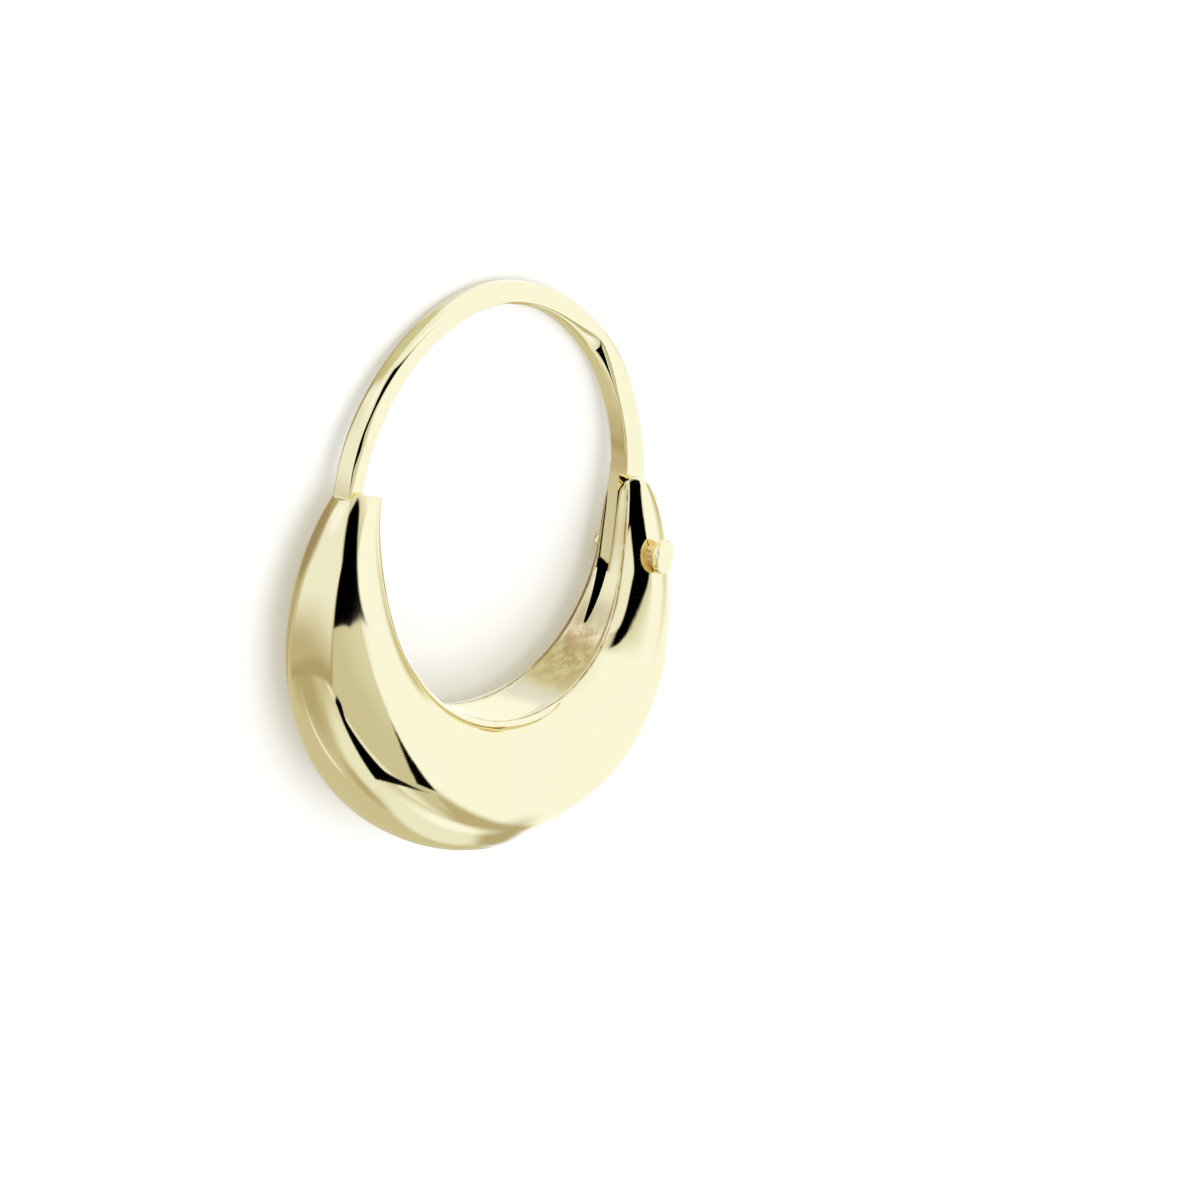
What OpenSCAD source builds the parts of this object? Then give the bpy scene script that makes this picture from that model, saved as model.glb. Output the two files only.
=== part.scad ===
// Hollow crescent hoop earring with a hinged ear wire.
// The hoop is drawn in its own plane first: x runs from the front end to the hinge,
// y runs up to the ear wire and z is the hoop's thickness. It is then laid on its side.

/* [Crescent] */
// Radius of the crescent's lowest outside point, from the centre of the hole
belly_r = 13.05; // [12:0.05:14]
// Radius of the hole's lowest point, from the centre of the hole
hole_r = 7.8; // [7.4:0.05:8.2]
// Half of the crescent's greatest width
belly_half = 2.7; // [2.4:0.05:3]
// Thickness of the gold sheet
wall = 0.25; // [0.2:0.01:0.3]
// Width of the flat strip that faces the hole, as a share of the section's width at its lowest point
strip_share = 0.5; // [0.4:0.05:0.6]
// Depth of the section's widest place below that strip, as a share of its depth
widest_share = 0.33; // [0.25:0.01:0.4]
// Squareness of the outside of the section, 2 is an ellipse
belly_power = 2.5; // [2.2:0.1:3]

/* [Ear wire] */
// Half width of the wire where it goes through the ear
wire_half = 0.44; // [0.42:0.01:0.48]
// Thickness of the wire at the top of its arch
wire_thick = 0.88; // [0.8:0.01:0.95]
// Half thickness of the flat blade at the hinge, where one side of the wire is cut back
blade_half = 0.28; // [0.25:0.01:0.3]
// Shift of the blade from the hoop's middle plane
blade_shift = -0.3; // [-0.35:0.01:-0.25]

/* [Hinge] */
// Distance of the rivet behind the centre of the hoop
rivet_x = 7.3; // [7.25:0.01:7.35]
// Radius of the rivet's shank
rivet_r = 0.3; // [0.25:0.01:0.32]
// Radius of the rivet's formed head
head_r = 0.57; // [0.5:0.01:0.6]
// Radius of its peened end
peened_r = 0.48; // [0.46:0.01:0.5]
// Distance from the middle plane to the outer face of a head
head_z = 1.76; // [1.7:0.01:1.9]
// Thickness of a head
head_thick = 0.32; // [0.25:0.01:0.35]
// Gap between the shank and the blade's hole
running_gap = 0.04; // [0.02:0.01:0.06]
// Gap between the shank and the holes in the prongs
rivet_gap = 0.02; // [0.01:0.01:0.03]
// Gap between the blade and each side of its slot
slot_gap = 0.04; // [0.03:0.01:0.06]

/* [Rest] */
// Lean of the hoop on its side, where the belly, the ear wire and a rivet head touch the table
lean = -7.06; // [-7.5:0.01:-6.6]

/* [Hidden] */
gold = [0.93, 0.84, 0.56];

// The hole's centre, from which every angle and radius is measured
hole_y = 2.4;
// Height of the rivet
rivet_y = 0.03;
// Angles of the crescent's front rim and of the tops of its prongs
front_a = -12;
back_a = 185;

// Columns of the crescent's table: angle from the front over the bottom to the back,
// then shares of belly_r, hole_r, belly_half and strip_share
A = 0;
OUTER = 1;
INNER = 2;
HALF = 3;
STRIP = 4;
BODY = [
    [-12, 0.560, 0.762, 0.300, 1.20],
    [ 15, 0.705, 0.770, 0.500, 1.20],
    [ 45, 0.866, 0.862, 0.780, 1.00],
    [ 90, 1.000, 1.005, 1.000, 1.00],
    [135, 0.870, 0.949, 0.775, 1.05],
    [160, 0.723, 0.842, 0.480, 0.92],
    [174, 0.648, 0.815, 0.350, 0.70],
    [185, 0.565, 0.830, 0.255, 0.48]
];

// Columns of the wire's tables: angle, outer radius, thickness and half width
THICK = 2;
WIRE = [
    [184, 7.40, 1.08, 1.06 * wire_half],
    [210, 7.58, 0.88, 1.04 * wire_half],
    [240, 8.20, wire_thick, wire_half],
    [270, 8.68, wire_thick, 0.98 * wire_half],
    [300, 8.14, 0.58, 1.20 * wire_half],
    [330, 7.64, 0.62, 1.08 * wire_half],
    [350, 7.40, 0.66, 0.98 * wire_half]
];
// The thin tongue at the wire's tip, which drops into the crescent's open front end
TONGUE = [
    [346, 7.05, 0.40, 0.36],
    [353, 6.95, 0.38, 0.34],
    [357, 6.80, 0.25, 0.24]
];

// Notch in the outside of the front rim, which the wire's tip sits in
notch_half = 0.53;
notch_depth = 0.35;
notch_corner = 0.25;
notch_from = 6.7;
notch_length = 1.5;
// Slot between the prongs
slot_half = blade_half + slot_gap;
slot_floor = rivet_y - 0.69;
slot_from = 5;
// Size of the blocks that are cut away at the hinge
cut_size = 6;
// Round top of the prongs, as a disc with its centre and its radius
PRONG_TOP = [[7.1, 2.05], 0.8];
// Slanted cut of the wire's back end over the prongs: a point on it and its slope
WIRE_CUT = [6, 3.24];
wire_cut_slope = -14;
// Flat blade: discs round the rivet, at its tail, half way up and inside the wire's end,
// each with its centre and its radius
EYE = [[rivet_x, rivet_y], 0.6];
TAIL = [[6.66, -0.05], 0.46];
BLADE_WAIST = [[6.8, 1.7], 0.48];
BLADE_ROOT = [[6.93, 3.45], 0.45];
// Drift of the prongs and of the wire's back part from the middle plane
prong_shift = -0.12;
wire_shift = -0.08;
// Collar under each head
collar_r = 0.4;
collar_z = 1.36;
head_edge = 0.06;

// Place of the hoop's centre on the table
REST = [0.053, -0.203, 1.802];

// Steps of the curved surfaces
body_steps = 40;
rise_steps = 4;
side_steps = 9;
wire_steps = 48;
tongue_steps = 6;
wire_sides = 16;
wire_power = 4;
$fn = 48;

// Slope of column c at row i, from the parabola through the rows beside it
function slope(rows, c, i) =
    let (n = len(rows) - 1, p = max(i - 1, 0), q = min(i + 1, n))
    let (h = rows[i][A] - rows[p][A], k = rows[q][A] - rows[i][A])
    i == 0 ? (rows[1][c] - rows[0][c]) / k
    : i == n ? (rows[n][c] - rows[p][c]) / h
    : ((rows[i][c] - rows[p][c]) * k / h + (rows[q][c] - rows[i][c]) * h / k) / (h + k);

// Value of column c at angle a, on a smooth curve through the rows
function along(rows, c, a) =
    let (i = max(concat([0], [for (r = [0 : len(rows) - 2]) if (a >= rows[r][A]) r])))
    let (h = rows[i + 1][A] - rows[i][A], s = (a - rows[i][A]) / h)
    rows[i][c] * (1 + 2 * s) * pow(1 - s, 2)
    + slope(rows, c, i) * h * s * pow(1 - s, 2)
    + rows[i + 1][c] * s * s * (3 - 2 * s)
    + slope(rows, c, i + 1) * h * s * s * (s - 1);

// Point at angle a and radius r round the hole's centre, z off the middle plane
function polar(a, r, z) = [-cos(a) * r, hole_y - sin(a) * r, z];

// Half of the crescent's section as [depth, width] shares: a flat strip that rounds over
// to the widest place, then the full outside
function section(strip) = concat(
    [for (i = [0 : rise_steps - 1]) let (f = 90 * i / rise_steps)
        [widest_share * (1 - cos(f)), strip + (1 - strip) * sin(f)]],
    [for (i = [0 : side_steps]) let (f = 90 * i / side_steps)
        [widest_share + (1 - widest_share) * pow(sin(f), 2 / belly_power),
            pow(cos(f), 2 / belly_power)]]
);

// Ring of the crescent at angle a, set in from the outside by inset
function body_ring(a, inset) =
    let (shift = prong_shift * pow(max(0, (a - 135) / (back_a - 135)), 2))
    let (inner = along(BODY, INNER, a) * hole_r + inset)
    let (depth = along(BODY, OUTER, a) * belly_r - inset - inner)
    let (half = along(BODY, HALF, a) * belly_half - inset)
    let (s = section(along(BODY, STRIP, a) * strip_share))
    concat(
        [for (p = s) polar(a, inner + p[0] * depth, shift + p[1] * half)],
        [for (i = [len(s) - 2 : -1 : 0]) polar(a, inner + s[i][0] * depth, shift - s[i][1] * half)]
    );

// Signed power, for the wire's rounded rectangle
function bulge(v, power) = sign(v) * pow(abs(v), 2 / power);

// Sideways place of the wire's middle at angle a, which drifts from the front to the back
function drift(a) = wire_shift * min(1, max(0, (340 - a) / 130));

// Ring of the wire or its tongue at angle a
function wire_ring(rows, a) =
    let (thick = along(rows, THICK, a), mid = along(rows, OUTER, a) - thick / 2)
    let (half = along(rows, HALF, a))
    [for (k = [0 : wire_sides - 1]) let (f = 360 * (k + 0.5) / wire_sides)
        polar(a, mid + bulge(cos(f), wire_power) * thick / 2,
            drift(a) + bulge(sin(f), wire_power) * half)];

// Triangles between ring i and ring j, each of m points
function band(i, j, m) = [for (k = [0 : m - 1]) let (l = (k + 1) % m)
    each [[i * m + k, j * m + k, j * m + l], [i * m + k, j * m + l, i * m + l]]];

// Closed tube wall: rings joined one after another, and the last to the first
module loop_of(rings) {
    n = len(rings);
    m = len(rings[0]);
    polyhedron([for (r = rings) each r], [for (i = [0 : n - 1]) each band(i, (i + 1) % n, m)]);
}

// Solid bar through the rings, with flat ends
module bar_of(rings) {
    n = len(rings);
    m = len(rings[0]);
    polyhedron(
        [for (r = rings) each r],
        concat(
            [for (i = [0 : n - 2]) each band(i, i + 1, m)],
            [[for (k = [0 : m - 1]) k], [for (k = [m - 1 : -1 : 0]) (n - 1) * m + k]]
        )
    );
}

// Rings of the wire or its tongue, from its first row to its last
function wire_rings(rows, steps) =
    let (from = rows[0][A], to = rows[len(rows) - 1][A])
    [for (i = [0 : steps]) wire_ring(rows, to + (from - to) * i / steps)];

// Frame at angle a on the hoop: x points outwards and y along increasing angles
module at_angle(a) {
    translate([0, hole_y, 0]) rotate([0, 0, 180 + a]) children();
}

// The hoop as it lies on its side
module lying() {
    translate(REST) rotate([lean, 0, 0]) children();
}

// Bore through both prongs or through the blade
module rivet_bore(r) {
    translate([rivet_x, rivet_y, 0]) cylinder(r = r, h = cut_size, center = true);
}

module crescent_shell() {
    span = back_a - front_a;
    loop_of(concat(
        [for (i = [0 : body_steps]) body_ring(front_a + span * i / body_steps, 0)],
        [for (i = [0 : body_steps]) body_ring(back_a - span * i / body_steps, wall)]
    ));
}

module notch() {
    at_angle(front_a) translate([notch_from, 0, 0]) rotate([0, 90, 0]) {
        translate([-notch_half, -1, 0]) cube([2 * notch_half, 1 + notch_depth - notch_corner, notch_length]);
        translate([notch_corner - notch_half, -1, 0])
            cube([2 * (notch_half - notch_corner), 1 + notch_depth, notch_length]);
        for (side = [-1, 1])
            translate([side * (notch_half - notch_corner), notch_depth - notch_corner, 0])
                cylinder(r = notch_corner, h = notch_length);
    }
}

module slot() {
    translate([slot_from, slot_floor, blade_shift - slot_half]) cube([cut_size, cut_size, 2 * slot_half]);
}

// All that lies beyond the round tops of the prongs
module past_prongs() {
    difference() {
        translate([slot_from, PRONG_TOP[0].y, -cut_size / 2]) cube(cut_size);
        translate(PRONG_TOP[0]) cylinder(r = PRONG_TOP[1], h = 2 * cut_size, center = true);
    }
}

module crescent_body() {
    color(gold) lying() difference() {
        crescent_shell();
        notch();
        slot();
        past_prongs();
        rivet_bore(rivet_r + rivet_gap);
    }
}

module blade_outline(discs) {
    hull() for (d = discs) translate(d[0]) circle(r = d[1]);
}

module blade() {
    translate([0, 0, blade_shift]) linear_extrude(height = 2 * blade_half, center = true) {
        blade_outline([EYE, TAIL, BLADE_WAIST]);
        blade_outline([BLADE_WAIST, BLADE_ROOT]);
    }
}

// All that lies below the slanted cut of the wire's back end
module wire_cut() {
    translate(WIRE_CUT) rotate([0, 0, wire_cut_slope])
        translate([0, -cut_size, -cut_size / 2]) cube(cut_size);
}

module ear_wire() {
    color(gold) lying() difference() {
        union() {
            difference() {
                bar_of(wire_rings(WIRE, wire_steps));
                wire_cut();
            }
            bar_of(wire_rings(TONGUE, tongue_steps));
            blade();
        }
        rivet_bore(rivet_r + running_gap);
    }
}

module rivet_half(r) {
    head_from = head_z - head_thick;
    rotate_extrude() polygon([
        [0, 0], [rivet_r, 0], [rivet_r, collar_z], [collar_r, collar_z], [collar_r, head_from],
        [r - head_edge, head_from], [r, head_from + head_edge],
        [r, head_z - head_edge], [r - head_edge, head_z], [0, head_z]
    ]);
}

module hinge_rivet() {
    color(gold) lying() translate([rivet_x, rivet_y, 0]) {
        rivet_half(head_r);
        mirror([0, 0, 1]) rivet_half(peened_r);
    }
}

crescent_body();
ear_wire();
hinge_rivet();
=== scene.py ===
import math

import bpy
import numpy as np
from mathutils import Matrix, Vector


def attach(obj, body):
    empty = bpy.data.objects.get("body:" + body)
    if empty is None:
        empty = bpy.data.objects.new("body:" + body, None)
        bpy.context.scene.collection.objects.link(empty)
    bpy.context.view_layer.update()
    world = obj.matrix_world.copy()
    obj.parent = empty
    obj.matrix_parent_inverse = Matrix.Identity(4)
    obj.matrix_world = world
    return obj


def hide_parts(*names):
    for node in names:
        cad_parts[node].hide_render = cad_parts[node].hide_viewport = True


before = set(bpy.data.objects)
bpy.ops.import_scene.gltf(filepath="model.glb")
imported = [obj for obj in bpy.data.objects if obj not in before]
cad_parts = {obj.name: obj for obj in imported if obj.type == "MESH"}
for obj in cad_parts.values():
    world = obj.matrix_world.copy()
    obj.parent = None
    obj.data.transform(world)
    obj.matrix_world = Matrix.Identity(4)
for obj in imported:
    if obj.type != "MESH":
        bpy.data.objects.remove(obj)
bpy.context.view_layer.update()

# Sizes are in millimetres in the hoop's own frame, with z towards the near side. Angles are in degrees round
# the middle of the hole: 0 is the front, 90 the belly, 180 the hinge and 270 the top of the arch.
BELLY_R, HOLE_R, BELLY_HALF, STRIP = 13.05, 7.8, 2.7, 0.5
WIDEST, POWER, HOLE_Y, WALL = 0.33, 2.5, 2.4, 0.25
FRONT_A, BACK_A, PRONG_SHIFT, WIRE_SHIFT = -12, 185, -0.12, -0.08
RIVET_X, RIVET_Y, RIVET_R = 7.3, 0.03, 0.3
BLADE_SHIFT, BLADE_HALF, SLOT_HALF, SLOT_FLOOR = -0.3, 0.28, 0.32, -0.66
NOTCH_HALF, NOTCH_DEPTH = 0.53, 0.35
PRONG_TOP, PRONG_TOP_R = (7.1, 2.05), 0.8
PRONG_CREST, PRONG_HOLLOW = (6.72, 2.72, 0.33), (6.9, 2.35, 0.5)
WIRE_CUT, WIRE_CUT_SLOPE, WIRE_END = (6.0, 3.24), -14, 350.65
LEAN, REST = -7.06, (0.053, -0.203, 1.802)

# angle, then shares of BELLY_R, HOLE_R, BELLY_HALF and STRIP
BODY = np.array([
    [-12, 0.560, 0.762, 0.300, 1.20], [15, 0.705, 0.770, 0.500, 1.20],
    [45, 0.866, 0.862, 0.780, 1.00], [90, 1.000, 1.005, 1.000, 1.00],
    [135, 0.870, 0.949, 0.775, 1.05], [160, 0.723, 0.842, 0.480, 1.13],
    [174, 0.648, 0.815, 0.350, 1.36], [185, 0.565, 0.830, 0.255, 1.45]])
# a distance that nothing reaches
FAR_OUT = 9.0
# the ear wire's section: angle, middle radius, half thickness, half width, way the outer side faces (90 is
# straight out), distance and way of the facet on its near outer edge, the same on its near inner edge,
# sharpness of its edges
WIRE = np.array([
    [184, 6.86, 0.540, 0.466, 90, FAR_OUT, 21, FAR_OUT, -32, 9],
    [201, 7.035, 0.465, 0.460, 90, FAR_OUT, 21, 0.80, -32, 9],
    [209, 7.14, 0.445, 0.458, 90, FAR_OUT, 21, 0.66, -38, 10],
    [217, 7.295, 0.440, 0.457, 90, FAR_OUT, 21, 0.575, -38, 11],
    [224, 7.45, 0.440, 0.454, 90, FAR_OUT, 21, 0.48, -38, 11],
    [233, 7.625, 0.440, 0.447, 90, 0.97, 21, 0.335, -37, 9],
    [240, 7.76, 0.440, 0.442, 90, 0.94, 21, 0.43, -33, 7],
    [248, 7.935, 0.440, 0.438, 90, 0.90, 21, 0.50, -32, 6],
    [258, 8.12, 0.440, 0.434, 90, 0.84, 21, 0.58, -32, 5],
    [270, 8.24, 0.440, 0.431, 90, 0.75, 21, 0.66, -32, 4],
    [285, 8.13, 0.430, 0.420, 88, 0.64, 21, 0.80, -32, 4],
    [300, 7.85, 0.390, 0.405, 88, 0.53, 21, 0.90, -32, 5],
    [312, 7.62, 0.395, 0.395, 89, 0.475, 21, FAR_OUT, -32, 6],
    [322, 7.44, 0.400, 0.388, 87, 0.44, 22, FAR_OUT, -32, 7],
    [334, 7.27, 0.400, 0.387, 85, 0.39, 26, FAR_OUT, -32, 9],
    [344, 7.14, 0.370, 0.407, 86, 0.43, 25.5, FAR_OUT, -32, 10],
    [350, 7.07, 0.350, 0.420, 86, 0.49, 25.5, FAR_OUT, -32, 10]])
# the tongue's section: angle, middle radius, half thickness, half width
TONGUE = np.array([[346, 6.85, 0.20, 0.36], [353, 6.76, 0.19, 0.34], [357, 6.675, 0.125, 0.24]])
# the blade's outline runs round these discs: centre and radius
EYE, TAIL = ((RIVET_X, RIVET_Y), 0.6), ((6.42, -0.37), 0.25)
WAIST, ROOT = ((6.8, 1.7), 0.48), ((6.80, 3.45), 0.44)


def turned(ways):
    """Directions of the hoop's own frame, as they point in the row frame."""
    lean = math.radians(LEAN)
    turn = np.array([[1, 0, 0], [0, math.cos(lean), -math.sin(lean)], [0, math.sin(lean), math.cos(lean)]])
    return np.asarray(ways, float) @ turn.T


def lie(points):
    """Points of the hoop's own frame, in mm, as they lie in the row frame, in metres."""
    return (turned(points) + np.array(REST)) / 1000


def spline(table, column, at):
    """A column of a table at some angles, on a natural cubic spline."""
    x, y = table[:, 0], table[:, column]
    n, h = len(x), np.diff(x)
    d = np.diff(y) / h
    a, b = np.eye(n), np.zeros(n)
    for i in range(1, n - 1):
        a[i, i - 1:i + 2] = h[i - 1], 2 * (h[i - 1] + h[i]), h[i]
        b[i] = 6 * (d[i] - d[i - 1])
    m = np.linalg.solve(a, b)
    k = np.clip(np.searchsorted(x, at, side="right") - 1, 0, n - 2)
    u, v = at - x[k], x[k + 1] - at
    return ((m[k] * v**3 + m[k + 1] * u**3) / (6 * h[k]) + (y[k] / h[k] - m[k] * h[k] / 6) * v
            + (y[k + 1] / h[k] - m[k + 1] * h[k] / 6) * u)


def blurred(table, column, at, reach):
    """A column of a table at some angles, on straight lines, averaged over reach degrees each way."""
    shifts = range(-reach, reach + 1)
    return np.mean([np.interp(at + v, table[:, 0], table[:, column]) for v in shifts], axis=0)


def ease(x, lo, hi):
    """0 below lo, 1 above hi and a smooth step between."""
    t = np.clip((x - lo) / (hi - lo), 0, 1)
    return t * t * (3 - 2 * t)


def added(steps):
    """The running sum of steps, from 0."""
    return np.concatenate([[0], np.cumsum((steps[1:] + steps[:-1]) / 2)])


def polar(angle, r, z):
    """Points at an angle and radius round the middle of the hole."""
    a = np.radians(angle)
    return np.stack([-np.cos(a) * r, HOLE_Y - np.sin(a) * r, z + 0 * r], -1)


def rows_xy(angles, r):
    """x and y of a table of radii that has a row for each angle."""
    a = np.radians(angles)
    return -np.cos(a)[:, None] * r, HOLE_Y - np.sin(a)[:, None] * r


def mesh_object(name, verts, faces, body, smooth_angle, attributes=None):
    """An object that rides on a body."""
    mesh = bpy.data.meshes.new(name)
    mesh.from_pydata([tuple(v) for v in lie(verts)], [], [tuple(int(i) for i in f) for f in faces])
    mesh.update()
    for key, values in (attributes or {}).items():
        mesh.attributes.new(key, "FLOAT", "POINT").data.foreach_set("value", np.asarray(values, np.float32))
    mesh.shade_smooth()
    mesh.set_sharp_from_angle(angle=math.radians(smooth_angle))
    ob = bpy.data.objects.new(name, mesh)
    bpy.context.scene.collection.objects.link(ob)
    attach(ob, body)
    return ob


def wavy(t, seed, turns=(3, 7, 13, 29)):
    """A slow random line of values about 0 to 1."""
    rng = np.random.RandomState(seed)
    v = sum(rng.uniform(0.5, 1) * np.sin(2 * np.pi * (k * t + rng.uniform())) / (1 + 0.3 * i)
            for i, k in enumerate(turns))
    return 0.5 + 0.25 * v


# The hollow crescent is a grid of rows along it and columns round its section: the near half from the strip
# in the hole to the outside, a band over the outside, the far half back to the strip, a band on the strip.
# The narrow slit is in the cells of SLIT_COL, and the way into the sheet there is taken from STRIP_COL.
HALF_COLS, BAND_COLS, BAND_HALF = 52, 8, 0.3
OUTER_0, FAR_0, HOLE_0 = HALF_COLS, HALF_COLS + BAND_COLS, 2 * HALF_COLS + BAND_COLS
COLS, SLIT_COL, STRIP_COL = 2 * HALF_COLS + 2 * BAND_COLS, HOLE_0 + BAND_COLS // 2 - 1, 8
# rows to the angle LOW_A, to HIGH_A, to the slot's floor and to the prongs' tops; the first lie closer at the
# front. Row SLOT_ROW is on the slot's floor, and the lining behind the front rim ends before row LINING_END.
ROWS, LOW_A, HIGH_A, FRONT_CROWD = (46, 96, 110, 64), 20.0, 100.0, 1.3
SLOT_ROW, LINING_END = sum(ROWS[:3]), 70
# points of a section on the strip, to its widest place, over its top and a little past it, and between what
# shares of the strip's half width the first lie
STRIP_STEPS, SIDE_STEPS, TOP_STEPS, PAST_STEPS, ON_STRIP = 16, 80, 200, 12, (-0.9, 0.97)
# sections that are worked out, points on each when spaced evenly, and how much and how near the columns crowd
# round the solder line
FINE, EVEN_STEPS, SEAM_CROWD, SEAM_REACH = 900, 600, 7, 0.13
# how far before and after its first sign a crossing is looked for, and in how many steps
LOOK_BACK, LOOK_ON, LOOK_STEPS = 0.25, 0.02, 240
# where the section starts to shift to one side, how fast, and where its two bands move to the slot's place
SHIFT_FROM, SHIFT_RUN, BANDS_MOVE = 135, 50, (95, 140)
# the narrow slit that runs on from the slot's floor: its middle, where it ends, how wide it is
SLIT_Z, SLIT_END, SLIT_WIDTH = -0.28, 136.0, 0.54
# its width at that end, where it is fully wide, and how it widens
SLIT_LEAST, SLIT_FULL, SLIT_POWER = 0.02, 153, 0.45
# the front rim: radius of its corner at the strip, from what radius the notch cuts it, powers of the notch's
# outline, and how its edges are rounded
RIM_CORNER, NOTCH_R, NOTCH_POWERS, RIM_EDGE = 0.28, 6.75, (3.5, 2.2), 0.03
# from what angles the slot's floor and the prong's top are looked for
FLOOR_FROM, TOP_FROM = 120, 160
# the prong: angle of the section that its rounding is taken from, radius of that, where its crest rises,
# steps in which its top is looked for, and turns of its rounding and of the front rim's
PRONG_A, PRONG_ROUND, CREST_RISE, CREST_STEPS = 178, 0.08, (0.08, 0.42), 25
CAP_TURNS, RIM_TURNS = (15, 30, 45, 60, 75, 90), (30, 60, 90)
# how the near and far faces turn from the strip's solder line to their widest, near the hinge: angle, how far
# this holds, degrees turned at the solder line, shares of the way to the turns in TURN_BY, least and most
# reach in depth; between the rows it is averaged over TURN_BLUR degrees each way
TURN_BY, TURN_BLUR = (63, 75), 5
TURN = np.array([
    [100, 0, 8, 0.32, 0.95, 0.33, 0.6], [118, 1, 30, 0.36, 0.97, 0.33, 0.6],
    [132, 1, 30, 0.36, 0.95, 0.33, 0.6], [145, 1, 26, 0.33, 0.85, 0.33, 0.6],
    [153, 1, 34, 0.32, 0.78, 0.33, 0.6], [165, 1, 44, 0.33, 0.765, 0.3, 0.5],
    [175, 1, 40, 0.15, 0.80, 0.3, 0.5], [185, 1, 35, 0.02, 0.80, 0.3, 0.5]])
# the solder line: half width and depth of its groove, place, half width and height of the bead beside it, how
# far it wanders, its least strength and what is added, the turns of its strength, and where it fades in
GROOVE, GROOVE_DEEP, BEAD_AT, BEAD, BEAD_HIGH = 0.045, -0.020, 0.09, 0.04, 0.009
WANDER, STRENGTH, STRENGTH_TURNS, LINE_FADE = 0.03, (0.45, 0.8), (9, 17, 41, 67), (-8, 6)
# seeds of its wander and strength on the near and the far edge, and of the lumps of the rivet's collar
WANDER_SEEDS, STRENGTH_SEEDS, LUMP_SEED = (3, 4), (11, 12), 21
# painted shade: a band of the solder line's brown beside it on the strip's far edge: strength, place, half
# width and where it starts
FAR_EDGE_SHADE, FAR_EDGE_SHADE_AT, FAR_EDGE_SHADE_HALF, FAR_EDGE_SHADE_RISE = 0.7, 0.05, 0.12, (70, 110)
# the brown on the edges of the prongs, at the corner and beside it
BROWN_CORNER, BROWN_BESIDE = 1, 0.3
# rough solder: angle and spread along the strip, how far it fades in from the edge, then its strength and
# ring round the rivet, from what height
SOLDER_A, SOLDER_SPREAD, SOLDER_FADE = 127, 11, 0.5
RING_SOLDER, RING, RING_Z = 0.8, (0.42, 0.72), 0.3
# the largest angle between smooth faces, and a row and a face where the way out is tested
SMOOTH, TEST_ROW, TEST_FACE = 40, 60, 500


def half_section(depth, half, strip, edge, shift, side, lean):
    """Depths and z down one side of a section, from the slot's edge on the strip to its edge on the outside,
    how far each lies past the solder line, and the share of the depth where the section is widest."""
    quarter, over = np.linspace(0, np.pi / 2, SIDE_STEPS), np.linspace(0, np.pi / 2, TOP_STEPS)
    size = (np.cos(over)**POWER + np.sin(over)**POWER)**(1 / POWER)
    flat, first, way1, way2, least, most = lean
    turn = np.radians(np.interp(np.linspace(0, 1, SIDE_STEPS), (0, way1, way2, 1), (first, *TURN_BY, 90)))
    run_d, run_z = added(np.sin(turn)), added(np.cos(turn))
    reach = np.clip(run_d[-1] / run_z[-1] * half * (1 - strip) / depth, least, most)
    side_d = (1 - flat) * WIDEST * depth * (1 - np.cos(quarter)) + flat * reach * depth * run_d / run_d[-1]
    side_z = (1 - flat) * np.sin(quarter) + flat * run_z / run_z[-1]
    wide = side_d[-1] / depth
    d = np.concatenate([np.zeros(STRIP_STEPS), side_d,
                        depth * (wide + (1 - wide) * np.sin(over[1:]) / size[1:])])
    z = np.concatenate([strip * half * np.linspace(*ON_STRIP, STRIP_STEPS),
                        half * (strip + (1 - strip) * side_z), half * np.cos(over[1:]) / size[1:]])
    # past the top a little, so that an edge beyond the middle is still met
    d = np.concatenate([d, d[-PAST_STEPS:-1][::-1]])
    z = np.concatenate([z, -z[-PAST_STEPS:-1][::-1]])
    run = np.concatenate([[0], np.cumsum(np.hypot(np.diff(d), np.diff(z)))])
    widest, at = STRIP_STEPS + SIDE_STEPS, (edge - shift) * side
    low = np.interp(at, z[:widest], run[:widest])
    high = np.interp(-at, -z[widest:], run[widest:])
    seam = np.interp(strip * half, z[:widest], run[:widest])
    even = np.linspace(low, high, EVEN_STEPS)
    crowd = added(1 + SEAM_CROWD * np.exp(-((even - seam) / SEAM_REACH)**2))
    t = np.interp(np.linspace(0, crowd[-1], HALF_COLS), crowd, even)
    return np.interp(t, run, d), shift + side * np.interp(t, run, z), t - seam, wide


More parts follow.
